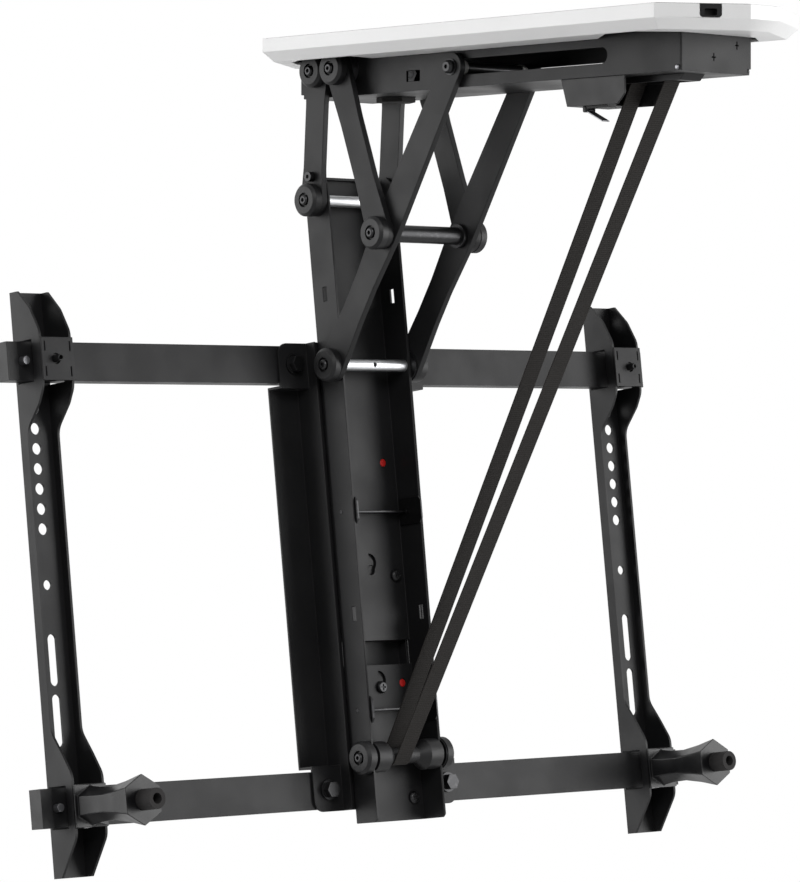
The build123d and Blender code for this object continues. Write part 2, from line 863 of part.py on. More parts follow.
# Strap under the roller, from one run to the other
loop_reach = 2 * roller_radius
with BuildPart() as strap_loop:
    ring(strap_x - strap_half, roller_pivot, loop_radius + strap_thick / 2,
         loop_radius - strap_thick / 2, strap_width)
    wedge = [roller_pivot]
    for line, way in ((front_line, 1), (rear_line, -1)):
        ny, nz = line[2]
        y, z = roller_pivot[0] + ny * loop_reach, roller_pivot[1] + nz * loop_reach
        back = (-nz * way, ny * way)
        wedge.append((y, z))
        wedge.append((y + back[0] * loop_reach, z + back[1] * loop_reach))
    outline(across(strap_x - strap_half), [wedge[0], wedge[1], wedge[2], wedge[4], wedge[3]],
            strap_width, Mode.SUBTRACT)
finish(strap_loop, "strap_loop")

# Control board on posts under the ceiling plate, and the mains socket in the cover's notch
board_face = -board_drop
with BuildPart() as control_board:
    block((-board_width / 2, board_width / 2), (board_y - board_length / 2, board_y + board_length / 2),
          (board_face - board_thick, board_face))
    for x, y, wide, long, high in board_chips:
        block((x - wide / 2, x + wide / 2), (board_y + y - long / 2, board_y + y + long / 2),
              (board_face - board_thick - high, board_face - board_thick))
    with BuildSketch(Plane.XY.offset(board_face)):
        with Locations((0, board_y)):
            with GridLocations(board_width - 3 * board_post_radius,
                               board_length - 3 * board_post_radius, 2, 2):
                Circle(board_post_radius)
    extrude(amount=board_drop - plate_thick)
finish(control_board, "control_board")

socket_top = plate_thick + seat_gap - cover_top_gap
socket_low = socket_height - fit_clearance
socket_wide = socket_width - 2 * fit_clearance
with BuildPart() as mains_socket:
    with BuildSketch(port_plane):
        with Locations((0, socket_height / 2)):
            RectangleRounded(socket_wide, socket_height - 2 * fit_clearance, cover_wall - fit_clearance)
    extrude(amount=cover_wall)
    with BuildSketch(port_plane):
        with Locations((0, (socket_top + socket_low) / 2)):
            Rectangle(socket_wide - 2 * cover_wall, socket_low - socket_top)
    extrude(amount=socket_depth_in)
    with BuildSketch(port_plane):
        with Locations((0, (socket_top + socket_low) / 2)):
            RectangleRounded(socket_wide - 3 * cover_wall, socket_low - socket_top - 2 * socket_wall,
                             socket_wall)
    extrude(amount=socket_depth_in - cover_wall, mode=Mode.SUBTRACT)
finish(mains_socket, "mains_socket")


def toward(first, second, distance):
    """The point at a distance from the first point on the way to the second."""
    share = distance / hypot(second[0] - first[0], second[1] - first[1])
    return tuple(a + (b - a) * share for a, b in zip(first, second))


def waisted(first, first_radius, second, second_radius, taper, waist):
    """The row of ends of a link that narrows to a waist at a taper from either end."""
    return [(first, first_radius), (toward(first, second, taper), waist),
            (toward(second, first, taper), waist), (second, second_radius)]


# Lift arms, outermost, with the tube that ties the two middle pivots
def lift_arm():
    """The outer arm between the fixed pivot and the middle of the scissor."""
    bar(outer_arm, waisted(lift_pivot, lift_arm_radius, middle_pivot, lift_arm_radius,
                           long_arm_taper, lift_arm_waist))
    bore(lift_pivot, bolt_radius + fit_clearance)
    bore(middle_pivot, bolt_radius + fit_clearance)


def middle_cap():
    """The cap over the scissor's middle pivot."""
    cap(outer_cap, middle_pivot)


def middle_bolt():
    """The bolt of the scissor's middle pivot with the washer between the arms."""
    socket_bolt(inner_arm - 2 * collar_length, outer_cap, middle_pivot)
    ring(inner_cap, middle_pivot, washer_radius, bolt_radius + fit_clearance, layer_gap)


near_and_far(lift_arm, "lift_arm")
both_sides(middle_cap, "middle_caps")
both_sides(middle_bolt, "middle_bolts")
with BuildPart() as cross_tube:
    disc(-inner_arm, middle_pivot, cross_tube_radius, 2 * inner_arm)
    disc(-inner_arm, middle_pivot, collar_radius, collar_length)
    disc(inner_arm - collar_length, middle_pivot, collar_radius, collar_length)
    sink(-inner_arm, middle_pivot, bolt_radius + fit_clearance, 2 * inner_arm)
finish(cross_tube, "cross_tube")


# Cross arms from the slider to the column, with the slider's shaft, rollers and bolts
def cross_arm():
    """The inner arm from the slider to the column."""
    bar(inner_arm, [(slider, cross_arm_slider_radius), (middle_pivot, cross_arm_middle_radius)])
    bar(inner_arm, waisted(middle_pivot, cross_arm_middle_radius, lower_pivot, cross_arm_column_radius,
                           long_arm_taper, cross_arm_waist))
    bore(slider, slider_pin_radius + fit_clearance)
    bore(middle_pivot, bolt_radius + fit_clearance)
    bore(lower_pivot, bolt_radius + fit_clearance)


roller_start = frame_inner - seat_gap - slider_roller_width


def slider_roller():
    """The roller that runs inside the frame's wall."""
    ring(roller_start, slider, slider_roller_radius, slider_pin_radius + fit_clearance, slider_roller_width)


def slider_bolt():
    """The slider's bolt head and its washer outside the cross arm."""
    ring(inner_cap, slider, slider_head_radius + layer_gap, slider_pin_radius + fit_clearance, layer_gap)
    disc(inner_cap + layer_gap, slider, slider_head_radius, slider_head_height / 2)
    with BuildSketch(across(inner_cap + layer_gap + slider_head_height / 2)) as profile:
        with Locations(slider):
            Circle(slider_head_radius)
    extrude(profile.sketch, amount=slider_head_height / 2, taper=head_taper)
    with BuildSketch(across(inner_cap + layer_gap + slider_head_height - socket_depth)) as profile:
        with Locations(slider):
            RegularPolygon(socket_across / 2, 6, major_radius=False)
    extrude(profile.sketch, amount=socket_depth, mode=Mode.SUBTRACT)


near_and_far(cross_arm, "cross_arm")
with BuildPart() as slider_shaft:
    disc(-roller_start, slider, slider_shaft_radius, 2 * roller_start)
    disc(-inner_cap, slider, slider_pin_radius, 2 * inner_cap)
finish(slider_shaft, "slider_shaft")
both_sides(slider_roller, "slider_rollers")
both_sides(slider_bolt, "slider_bolts")


# Rear arms from the frame's end to the top of the column
def rear_arm():
    """The waisted arm from the frame's end to the top of the column."""
    bar(inner_arm, waisted(rear_pivot, rear_arm_end_radius, upper_pivot, rear_arm_end_radius,
                           rear_arm_taper, rear_arm_waist))
    bore(rear_pivot, bolt_radius + fit_clearance)
    bore(upper_pivot, bolt_radius + fit_clearance)


stop_screw_point = toward(upper_pivot, rear_pivot, stop_screw_offset)


def stop_screw():
    """The tall screw that stops the rear arm against the column's cap."""
    disc(inner_cap, stop_screw_point, stop_screw_radius, stop_screw_length / 2)
    sink(inner_cap + stop_screw_length / 2 - socket_depth, stop_screw_point, socket_across / 2, socket_depth)


def upper_cap():
    """The cap over the upper column pivot."""
    cap(inner_cap, upper_pivot)


def upper_bolt():
    """The bolt of the upper column pivot and the stop screw beside it."""
    socket_bolt(inner_arm, inner_cap, upper_pivot)
    stop_screw()


near_and_far(rear_arm, "rear_arm")
both_sides(upper_cap, "upper_caps")
both_sides(upper_bolt, "upper_bolts")


# Column channel
def front_edge(height):
    """How far forward the column's flanges reach at a height."""
    return column_depth_top + (column_depth_bottom - column_depth_top) * max(0, -height / -column_bottom)


column_inner = column_half - column_wall
deep = 2 * column_depth_top
with BuildPart() as column_channel:
    with BuildSketch(column_cut(column_bottom)) as section:
        with Locations((0, column_depth_top / 2)):
            Rectangle(2 * column_half, column_depth_top)
        fillet(section.vertices().group_by(Axis.Y)[0], column_bend)
    extrude(amount=column_top - column_bottom)
    leaning_block((-column_inner, column_inner), (column_wall, deep),
                  (column_bottom, column_top - column_wall), Mode.SUBTRACT)
    leaning_block((-column_inner, column_inner), (web_lip, deep), (column_bottom, column_top), Mode.SUBTRACT)
    outline(column_side(-column_half),
            [(deep, column_top), (column_depth_top - flange_bevel, column_top),
             (column_depth_top, column_top - flange_bevel), (column_depth_top, 0),
             (front_edge(column_bottom + foot_bevel), column_bottom + foot_bevel),
             (column_depth_bottom - foot_bevel, column_bottom), (deep, column_bottom)],
            2 * column_half, Mode.SUBTRACT)
    with BuildSketch(column_side(-column_half)):
        for height, depth in flange_slots:
            with Locations((depth, height)):
                Rectangle(flange_slot_width, flange_slot_height)
        with Locations((upper_depth, upper_height)):
            Circle(shaft_radius + fit_clearance)
        with Locations((lower_pivot_depth, 0), (roller_depth, roller_level)):
            Circle(bolt_radius + fit_clearance)
        for height in edge_tabs:
            with Locations((column_depth_bottom / 2, height)):
                Circle(rivet_radius + fit_clearance)
    extrude(amount=2 * column_half, mode=Mode.SUBTRACT)
    with BuildSketch(column_face(column_wall)):
        for height in keyhole_levels:
            with Locations((keyhole_slot / 2, height + keyhole_arc)):
                Circle(keyhole_arc + keyhole_slot / 2)
                Circle(keyhole_arc - keyhole_slot / 2, mode=Mode.SUBTRACT)
                Rectangle(4 * keyhole_arc, 4 * keyhole_arc, align=(Align.MIN, Align.CENTER),
                          mode=Mode.SUBTRACT)
        for height in keyhole_levels:
            with Locations((0, height)):
                Circle(keyhole_radius)
        for x, height in web_holes:
            with Locations((x, height)):
                Circle(web_hole_radius)
        for x, height in web_screws:
            with Locations((x, height)):
                Circle(web_screw_radius / 2 + fit_clearance)
    extrude(amount=column_wall, mode=Mode.SUBTRACT)
    leaning_block((-column_inner, column_inner), (0, column_wall),
                  (window_level - window_height / 2, window_level + window_height / 2), Mode.SUBTRACT)
finish(column_channel, "column_channel")

# Cross brackets inside the column, with ears that stand past the flanges
ear_slope = edge_tab_height / 6
with BuildPart() as cross_brackets:
    for height in edge_tabs:
        front = front_edge(height) + edge_tab_depth
        leaning_block((-column_inner, column_inner), (column_wall, rib_depth),
                      (height - rib_thick / 2, height + rib_thick / 2))
        for x in (-column_inner, column_inner - rib_thick):
            outline(column_side(x),
                    [(column_wall + column_bend, height - edge_tab_height / 2),
                     (front - edge_tab_depth, height - edge_tab_height / 2),
                     (front, height - edge_tab_height / 2 + ear_slope),
                     (front, height + edge_tab_height / 2 - ear_slope),
                     (front - edge_tab_depth, height + edge_tab_height / 2),
                     (column_wall + column_bend, height + edge_tab_height / 2)], rib_thick)
    with BuildSketch(column_side(-column_half)):
        for height in edge_tabs:
            with Locations((column_depth_bottom / 2, height)):
                Circle(rivet_radius + fit_clearance)
    extrude(amount=2 * column_half, mode=Mode.SUBTRACT)
finish(cross_brackets, "cross_brackets")


def rivet():
    """The rivets that hold the cross brackets to the flange."""
    with BuildSketch(column_side(column_inner - 2 * rib_thick)) as profile:
        for height in edge_tabs:
            with Locations((column_depth_bottom / 2, height)):
                Circle(rivet_radius)
    extrude(profile.sketch, amount=column_half - column_inner + 2 * rib_thick)


# Shafts of the column
with BuildPart() as upper_shaft:
    disc(-column_half, upper_pivot, shaft_radius, 2 * column_half)
finish(upper_shaft, "upper_shaft")
with BuildPart() as lower_shaft:
    disc(-column_inner, lower_pivot, lower_shaft_radius, 2 * column_inner)
    with BuildSketch(column_face(2 * column_depth_top)):
        Circle(lower_shaft_hole)
    extrude(amount=2 * column_depth_top, mode=Mode.SUBTRACT)
finish(lower_shaft, "lower_shaft")
with BuildPart() as roller_axle:
    disc(-column_inner, roller_pivot, bolt_radius, 2 * column_inner)
finish(roller_axle, "roller_axle")

# Strap roller
roller_end = column_inner - roller_end_gap
roller_bore = bolt_radius + fit_clearance
groove_outer = groove_half + groove_taper
with BuildPart() as strap_roller:
    with BuildSketch(Plane(origin=(0, *roller_pivot), x_dir=(1, 0, 0), z_dir=(0, -1, 0))):
        with BuildLine():
            Polyline((-roller_end, roller_bore), (-roller_end, roller_radius), (-groove_outer, roller_radius),
                     (-groove_half, groove_radius), (groove_half, groove_radius),
                     (groove_outer, roller_radius), (roller_end, roller_radius), (roller_end, roller_bore),
                     close=True)
        make_face()
    revolve(axis=Axis((0, *roller_pivot), (1, 0, 0)))
finish(strap_roller, "strap_roller")


# Caps, bolts and washers on the column
def column_cap():
    """The caps over the lower pivot and the strap roller's axle."""
    cap(inner_cap, lower_pivot)
    cap(inner_arm, roller_pivot)


def column_bolt():
    """The column's bolts and washers."""
    socket_bolt(column_inner, inner_cap, lower_pivot)
    socket_bolt(column_inner, inner_arm, roller_pivot)
    ring(column_half, lower_pivot, washer_radius, bolt_radius + fit_clearance, layer_gap)
    ring(column_half, roller_pivot, washer_radius, bolt_radius + fit_clearance, layer_gap)
    ring(column_half, upper_pivot, upper_washer_radius, shaft_radius + fit_clearance, layer_gap)


both_sides(column_cap, "column_caps")
both_sides(column_bolt, "column_bolts")

with BuildPart() as column_screws:
    rivet()
    mirror(about=Plane.YZ)
    for x, height in web_screws:
        pan_screw(x, height, web_screw_radius, column_wall, web_screw_height)
    pan_screw(0, keyhole_levels[1], web_screw_radius, column_wall, web_screw_height)
finish(column_screws, "column_screws")

# Carrier behind the column, which holds the two rails
rail_back = rail_front - rail_depth
carrier_top = rail_upper + rail_height / 2 + carrier_thick
carrier_bottom = rail_lower - rail_height / 2 - carrier_thick
web_back = -carrier_gap - carrier_thick
ear_back = rail_front + carrier_gap
joggle_top = rail_upper - rail_height / 2 - carrier_thick
joggle_bottom = rail_lower + rail_height / 2 + carrier_thick
near_lip_start = carrier_lip_near - carrier_thick
far_lip_end = -carrier_lip_far + carrier_thick
carrier_arms = ((near_lip_start, carrier_near), (-carrier_far, far_lip_end))
carrier_lips = ((near_lip_start, carrier_lip_near), (-carrier_lip_far, far_lip_end))
carrier_holes = (carrier_bolt_near, -carrier_bolt_far)
carrier_lip_front = 2
rail_levels = (rail_upper, rail_lower)
with BuildPart() as carrier_plate:
    leaning_block((-carrier_lip_far, carrier_lip_near), (web_back, -carrier_gap),
                  (carrier_bottom, carrier_top))
    for span in carrier_lips:
        leaning_block(span, (rail_back, carrier_lip_front), (carrier_bottom, carrier_top))
    for span in carrier_arms:
        leaning_block(span, (rail_back, rail_back + carrier_thick), (joggle_bottom, joggle_top))
        leaning_block(span, (rail_back, ear_back + carrier_thick), (joggle_top - carrier_thick, joggle_top))
        leaning_block(span, (rail_back, ear_back + carrier_thick),
                      (joggle_bottom, joggle_bottom + carrier_thick))
        leaning_block(span, (ear_back, ear_back + carrier_thick), (joggle_top - carrier_thick, carrier_top))
        leaning_block(span, (ear_back, ear_back + carrier_thick),
                      (carrier_bottom, joggle_bottom + carrier_thick))
    pocket_half = column_inner - pocket_side
    pocket_back = web_back - pocket_depth
    pocket_low, pocket_high = window_level - window_height / 2, window_level + window_height / 2
    leaning_block((-pocket_half - pocket_wall, pocket_half + pocket_wall), (pocket_back, web_back),
                  (pocket_low - pocket_wall, pocket_high + pocket_wall))
    leaning_block((-pocket_half, pocket_half), (pocket_back + pocket_wall, 0), (pocket_low, pocket_high),
                  Mode.SUBTRACT)
    for level in rail_levels:
        leaning_block((-carrier_far, carrier_near), (rail_back, ear_back),
                      (level - rail_height / 2 - carrier_thick, level + rail_height / 2 + carrier_thick),
                      Mode.SUBTRACT)
        with BuildSketch(column_face(0)):
            for x in carrier_holes:
                with Locations((x, level)):
                    Circle(bolt_radius + fit_clearance)
        extrude(amount=rail_depth, mode=Mode.SUBTRACT)
    with BuildSketch(column_face(0)):
        for x, height in (*web_screws, (0, keyhole_levels[1])):
            with Locations((x, height)):
                Circle(web_screw_radius / 2 + fit_clearance)
    extrude(amount=2 * carrier_thick, mode=Mode.SUBTRACT)
    corners = carrier_plate.edges().filter_by(Axis((0, 0, 0), (0, cos(lean), sin(lean))))
    outer = [e for e in corners if (e.center().X > carrier_near - 0.01 or e.center().X < -carrier_far + 0.01)
             and e.length < 2 * carrier_thick]
    fillet(outer, carrier_ear_corner)
finish(carrier_plate, "carrier_plate")

with BuildPart() as carrier_bolts:
    for level in rail_levels:
        for x in carrier_holes:
            with BuildSketch(column_face(ear_back + 2 * carrier_thick)):
                with Locations((x, level)):
                    Circle(carrier_washer_radius)
            extrude(amount=carrier_thick)
            with BuildSketch(column_face(ear_back + 2 * carrier_thick + carrier_bolt_height)):
                with Locations((x, level)):
                    RegularPolygon(carrier_bolt_across / 2, 6, major_radius=False)
            extrude(amount=carrier_bolt_height)
            with BuildSketch(column_face(ear_back + 2 * carrier_thick)):
                with Locations((x, level)):
                    Circle(bolt_radius)
            extrude(amount=2 * carrier_thick + carrier_gap + rail_depth / 2)
finish(carrier_bolts, "carrier_bolts")


def rail(level, label):
    """A rectangular tube across the back with holes for the carrier's bolts."""
    half = rail_length / 2 - rail_cap
    span = (level - rail_height / 2, level + rail_height / 2)
    with BuildPart() as tube:
        leaning_block((-half, half), (rail_back, rail_front), span)
        leaning_block((-half, half), (rail_back + rail_wall, rail_front - rail_wall),
                      (span[0] + rail_wall, span[1] - rail_wall), Mode.SUBTRACT)
        for x in (*carrier_holes, half - stop_bolt_inset, stop_bolt_inset - half):
            face_hole(x, level, bolt_radius + fit_clearance, rail_front, rail_wall)
    finish(tube, label)


rail(rail_upper, "upper_rail")
rail(rail_lower, "lower_rail")


def rail_end():
    """The rails' end caps with the plugs that hold them."""
    half = rail_length / 2
    for level in rail_levels:
        leaning_block((half - rail_cap, half), (rail_back, rail_front),
                      (level - rail_height / 2, level + rail_height / 2))
        leaning_block((half - 2 * rail_cap + rail_plug_gap, half - rail_cap),
                      (rail_back + rail_wall, rail_front - rail_wall - rail_plug_relief),
                      (level - rail_height / 2 + rail_wall, level + rail_height / 2 - rail_wall))


def rail_stop():
    """The screws near the rails' ends that keep the brackets on."""
    for level in rail_levels:
        for radius, start, length in ((stop_head_radius, stop_head_height, stop_head_height),
                                      (bolt_radius, 0, rail_wall)):
            with BuildSketch(column_face(rail_front + start)) as profile:
                with Locations((rail_length / 2 - rail_cap - stop_bolt_inset, level)):
                    Circle(radius)
            extrude(profile.sketch, amount=length)


both_sides(rail_end, "rail_caps")
both_sides(rail_stop, "rail_stop_screws")


# Television brackets that slide along the rails
bracket_inner = bracket_x - bracket_width / 2
bracket_outer = bracket_x + bracket_width / 2
bracket_front = bracket_back + bracket_shallow
ear_front = bracket_back + bracket_ear
lower_ear_front = ear_front - lower_ear_set_back
vesa_x = bracket_x + vesa_hole_shift


def bracket():
    """A channel with two ears that reach past the rails; the ears' front edges are rounded."""
    points = [(bracket_back, bracket_top), (bracket_front, bracket_top)]
    points += [(depth if depth else ear_front, height) for depth, height in upper_ear_bends]
    points += [(bracket_front, upper_ear_end), (bracket_front, lower_ear_start)]
    points += [(depth if depth else lower_ear_front, height) for depth, height in lower_ear_bends]
    points += [(bracket_front, bracket_bottom), (bracket_back, bracket_bottom)]
    with BuildSketch(column_side(bracket_inner)) as profile:
        with BuildLine():
            Polyline(*points, close=True)
        make_face()
        bends = profile.vertices().filter_by(lambda v: bracket_bottom + 1 < v.Y < bracket_top - 1)
        fillet(bends, bracket_bend)
    extrude(profile.sketch, amount=bracket_width)
    leaning_block((bracket_inner + bracket_wall, bracket_outer - bracket_wall),
                  (bracket_back + bracket_wall, deep), (bracket_bottom, bracket_top), Mode.SUBTRACT)
    for level in rail_levels:
        half = rail_height / 2 + bracket_slot_gap
        leaning_block((bracket_inner, bracket_outer),
                      (rail_back - bracket_slot_gap / 2, rail_front + bracket_slot_reach),
                      (level - half, level + half), Mode.SUBTRACT)
    with BuildSketch(column_face(bracket_back + bracket_wall)) as profile:
        for step in (*vesa_extra_steps, *range(vesa_hole_count)):
            with Locations((vesa_x, vesa_hole_first - step * vesa_hole_pitch)):
                Circle(vesa_hole_radius)
        with Locations((vesa_x, vesa_single_level)):
            Circle(keyhole_radius)
        for level, length in vesa_slots:
            with Locations((vesa_x, level)):
                SlotOverall(length, vesa_slot_width, rotation=90)
    extrude(profile.sketch, amount=bracket_wall, mode=Mode.SUBTRACT)


def clamp_plate():
    """The plate across the upper ear, with a slit in each corner and a hole for the screw."""
    level = rail_upper
    leaning_block((bracket_inner, bracket_outer), (ear_front, ear_front + clamp_plate_thick),
                  (level - clamp_plate_height / 2, level + clamp_plate_height / 2))
    slit_wide, slit_high = clamp_slit
    with BuildSketch(column_face(ear_front + clamp_plate_thick)) as profile:
        with Locations((vesa_x, level)):
            Circle(clamp_hole_radius)
        with Locations((bracket_x, level)):
            with GridLocations(bracket_width - 2 * clamp_slit_inset, 2 * clamp_slit_rise, 2, 2):
                Rectangle(slit_wide, slit_high)
    extrude(profile.sketch, amount=clamp_plate_thick, mode=Mode.SUBTRACT)


def clamp_screw():
    """The clamping screw through the plate, with its nut welded behind the plate."""
    tip = ear_front + clamp_plate_thick + clamp_screw_proud
    with BuildSketch(column_face(tip)) as profile:
        with Locations((vesa_x, rail_upper)):
            Circle(clamp_screw_radius)
    extrude(profile.sketch, amount=tip - rail_front - seat_gap)
    with BuildSketch(column_face(ear_front)) as profile:
        with Locations((vesa_x, rail_upper)):
            RegularPolygon(clamp_nut_across / 2, 6, major_radius=False)
    extrude(profile.sketch, amount=clamp_nut_thick)
    with BuildSketch(column_face(tip)) as profile:
        with Locations((vesa_x, rail_upper)):
            RegularPolygon(socket_across / 2, 6)
    extrude(profile.sketch, amount=socket_depth, mode=Mode.SUBTRACT)


def hexagons(level, first, first_radius, second, second_radius):
    """A six-sided stretch of the bumper between two distances from the column's back face."""
    with BuildSketch(column_face(first)) as start:
        with Locations((bracket_x, level)):
            RegularPolygon(first_radius, 6, rotation=30)
    with BuildSketch(column_face(second)) as stop:
        with Locations((bracket_x, level)):
            RegularPolygon(second_radius, 6, rotation=30)
    loft([start.sketch, stop.sketch])


def clamp():
    """The clamp plate and its screw."""
    clamp_plate()
    clamp_screw()


def bumper():
    """The six-sided bumper on its plate across the lower ear."""
    level = rail_lower
    leaning_block((bracket_inner, bracket_outer), (lower_ear_front, lower_ear_front + bracket_wall),
                  (level - clamp_plate_height / 2, level + clamp_plate_height / 2))
    stations = ((lower_ear_front + bracket_wall, bumper_base), *bumper_stations)
    for (first, first_radius), (second, second_radius) in zip(stations, stations[1:]):
        hexagons(level, first, first_radius, second, second_radius)
    face_hole(bracket_x, level, bumper_foot_bore, bumper_face, bumper_foot_length)


def bumper_foot():
    """The hollow rubber foot in front of the bumper."""
    level = rail_lower
    with BuildSketch(column_face(bumper_tip)) as profile:
        with Locations((bracket_x, level)):
            Circle(bumper_foot_radius)
            Circle(bumper_foot_bore, mode=Mode.SUBTRACT)
    extrude(profile.sketch, amount=bumper_tip - bumper_face)


near_and_far(bracket, "bracket", far_bracket_shift)
near_and_far(clamp, "clamp", far_bracket_shift)
near_and_far(bumper, "bumper", far_bracket_shift)
near_and_far(bumper_foot, "bumper_foot", far_bracket_shift)
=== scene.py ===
"""Looks of a motorized ceiling mount for a television.

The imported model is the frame. Steel sheet gets rounded, powder-coated edges, the strap is woven,
and every other piece gets its own finish.
"""
import json
from math import atan2, cos, hypot, pi, radians, sin

import bpy
from bpy.props import FloatProperty, FloatVectorProperty, PointerProperty
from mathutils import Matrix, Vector

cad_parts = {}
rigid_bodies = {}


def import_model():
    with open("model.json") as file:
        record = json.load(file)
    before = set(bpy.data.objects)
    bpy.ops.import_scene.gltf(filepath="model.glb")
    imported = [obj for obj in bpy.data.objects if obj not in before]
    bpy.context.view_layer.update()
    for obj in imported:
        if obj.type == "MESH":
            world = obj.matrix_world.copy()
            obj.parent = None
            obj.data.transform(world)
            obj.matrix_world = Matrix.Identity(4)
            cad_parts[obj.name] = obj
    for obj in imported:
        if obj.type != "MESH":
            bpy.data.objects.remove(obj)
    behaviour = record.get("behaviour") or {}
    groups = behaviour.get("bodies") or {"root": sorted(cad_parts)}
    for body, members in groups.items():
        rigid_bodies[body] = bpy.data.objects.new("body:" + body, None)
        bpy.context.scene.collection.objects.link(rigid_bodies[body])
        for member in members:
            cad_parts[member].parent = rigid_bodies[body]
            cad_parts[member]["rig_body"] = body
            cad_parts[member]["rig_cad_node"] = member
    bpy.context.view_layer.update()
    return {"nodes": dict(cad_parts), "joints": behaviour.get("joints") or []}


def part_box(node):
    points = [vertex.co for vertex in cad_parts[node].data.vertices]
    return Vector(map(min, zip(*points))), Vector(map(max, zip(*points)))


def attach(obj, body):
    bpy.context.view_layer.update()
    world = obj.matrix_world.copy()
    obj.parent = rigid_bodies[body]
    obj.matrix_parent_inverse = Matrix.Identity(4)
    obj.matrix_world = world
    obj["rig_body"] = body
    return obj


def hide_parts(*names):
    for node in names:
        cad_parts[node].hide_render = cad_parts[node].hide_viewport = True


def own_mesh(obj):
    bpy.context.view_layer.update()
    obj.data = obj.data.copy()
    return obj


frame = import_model()

bl_info = {
    "name": "Ceiling Mount Looks",
    "version": (1, 0, 0),
    "blender": (4, 5, 0),
    "location": "View3D > Sidebar > Mount",
    "description": "Dresses a motorized ceiling mount for a television",
    "category": "Object",
}

# The column's lean from upright, and two depths measured from the screen's side of its web
LEAN = radians(7)
PIVOT_DEPTH = 0.0209
WEB_MIDDLE = 0.001
PIVOTS = {joint["name"]: joint.get("pos_m") for joint in frame["joints"]}

# The strap's mesh: its steps along a run and its columns across
STRAP_STEPS = 60
STRAP_COLUMNS = 8

# How a solid's mesh is merged and flattened, and the growth in area past which a step is undone
MERGE_DISTANCE = 0.000002
FLAT_ANGLE = radians(0.5)
FLATTENED_GROWTH = 1.001
ROUNDED_GROWTH = 1.01

# The camera that was fitted to the photo, whose focal length is in pixels of its width
CAMERA_PLACE = (2.44187, 2.49606, -0.29974)
CAMERA_AIM = (-0.681, -0.732, 0)
FOCAL_PIXELS = 4822.56
PHOTO_WIDTH = 800
SENSOR_WIDTH = 36

# The floor's level, size and glow, what the lamps point at, and each lamp's place and size
FLOOR_LEVEL = -1.9
FLOOR_RADIUS = 7
FLOOR_GLOW = 0.86
LAMP_AIM = (0, 0, -0.3)
LAMPS = {"key": ((-2.4, 2.3, -0.2), 2.4), "fill": ((2.4, -2.3, -0.2), 2.4), "front": ((2.2, 2.5, 1.8), 1.6)}


# Sizes and colours

class MountSizes(bpy.types.PropertyGroup):
    """Sizes of what the finishing adds."""
    sheet_rounding: FloatProperty(
        name="Sheet edge rounding", description="Width of the rounded edge on cut and folded steel sheet",
        default=0.00045, min=0, max=0.001, unit="LENGTH", subtype="DISTANCE")
    small_rounding: FloatProperty(
        name="Small part rounding", description="Width of the rounded edge on screws, caps and rollers",
        default=0.00025, min=0, max=0.0006, unit="LENGTH", subtype="DISTANCE")
    bumper_rounding: FloatProperty(
        name="Bumper rounding", description="Width of the rounded edge on the moulded bumpers",
        default=0.0008, min=0, max=0.002, unit="LENGTH", subtype="DISTANCE")
    plug_radius: FloatProperty(
        name="Plug radius", description="Radius of the red plugs in the column's web",
        default=0.0029, min=0.001, max=0.0031, unit="LENGTH", subtype="DISTANCE")
    plug_length: FloatProperty(
        name="Plug length", description="Length of the red plugs in the column's web",
        default=0.0014, min=0.0005, max=0.0018, unit="LENGTH", subtype="DISTANCE")
    strap_thickness: FloatProperty(
        name="Strap thickness", description="Thickness of the woven strap",
        default=0.0007, min=0.0004, max=0.001, unit="LENGTH", subtype="DISTANCE")
    rib_pitch: FloatProperty(
        name="Rib pitch", description="Distance between the cross ribs of the woven strap",
        default=0.0016, min=0.0005, max=0.004, unit="LENGTH", subtype="DISTANCE")


class MountColours(bpy.types.PropertyGroup):
    """Colours of the finishes."""
    powder: FloatVectorProperty(
        name="Powder coat", description="Colour of the black powder coat on the steel",
        default=(0.0105, 0.0105, 0.011), min=0, max=1, size=3, subtype="COLOR")
    cover: FloatVectorProperty(
        name="Cover paint", description="Colour of the white paint on the cover",
        default=(0.74, 0.74, 0.74), min=0, max=1, size=3, subtype="COLOR")
    strap: FloatVectorProperty(
        name="Strap", description="Colour of the woven strap",
        default=(0.0085, 0.0072, 0.0062), min=0, max=1, size=3, subtype="COLOR")
    steel: FloatVectorProperty(
        name="Bright steel", description="Colour of the bare turned steel",
        default=(0.62, 0.63, 0.64), min=0, max=1, size=3, subtype="COLOR")


class MountStudio(bpy.types.PropertyGroup):
    """Strength of the studio's light."""
    key: FloatProperty(
        name="Key light", description="Power of the large lamp on the motor side",
        default=115, min=0, unit="POWER")
    fill: FloatProperty(
        name="Fill light", description="Power of the lamp on the near side",
        default=72, min=0, unit="POWER")
    front: FloatProperty(
        name="Front light", description="Power of the raised lamp on the camera's side",
        default=70, min=0, unit="POWER")
    surround: FloatProperty(
        name="Surround", description="Strength of the even light from all round",
        default=0.12, min=0, max=1)


# Finishes

class Number:
    """A number inside a finish, with the sums that the finishes use."""

    def __init__(self, finish, socket):
        self.finish = finish
        self.socket = socket

    def work(self, operation, other):
        """A sum of this number and another one."""
        return self.finish.number("ShaderNodeMath", {"operation": operation}, {0: self, 1: other})

    def __add__(self, other):
        return self.work("ADD", other)

    def __sub__(self, other):
        return self.work("SUBTRACT", other)

    def __mul__(self, other):
        return self.work("MULTIPLY", other)


